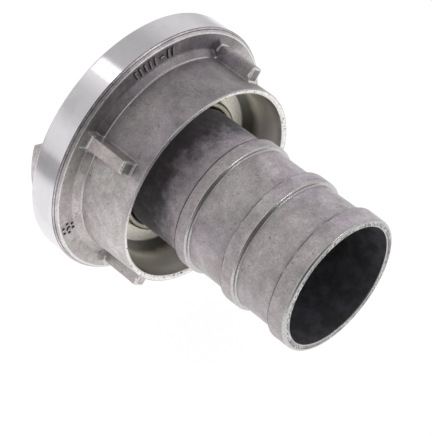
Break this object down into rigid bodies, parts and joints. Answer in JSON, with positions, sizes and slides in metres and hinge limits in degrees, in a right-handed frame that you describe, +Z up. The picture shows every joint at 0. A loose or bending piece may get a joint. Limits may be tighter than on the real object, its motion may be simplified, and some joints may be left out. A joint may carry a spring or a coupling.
{
  "type": "hose coupling half",
  "caption": "Cast aluminium hose coupling half: a ribbed locking ring with hooked claws that swivels on a barbed hose tail.",
  "frame": {"origin": "on the coupling's axis, at the centre of the coupling face, where the two halves meet", "axes": "+X along the axis, from the coupling face towards the mouth of the hose tail; +Z up"},
  "size_m": [0.1388, 0.127, 0.127],
  "materials": {
    "cast_aluminium": "shot-blasted casting with turned faces",
    "spring_steel": "drawn wire",
    "slide_plastic": "moulded",
    "seal_rubber": "moulded"
  },
  "bodies": {
    "tail": {"hose_tail": "cast_aluminium", "snap_ring": "spring_steel", "slide_ring": "slide_plastic", "sealing_ring": "seal_rubber"},
    "ring": {"locking_ring": "cast_aluminium"}
  },
  "joints": [
    {"name": "ring_swivel", "type": "hinge", "parent": "tail", "child": "ring", "pos_m": [0, 0, 0], "axis": [1, 0, 0], "continuous": true}
  ]
}
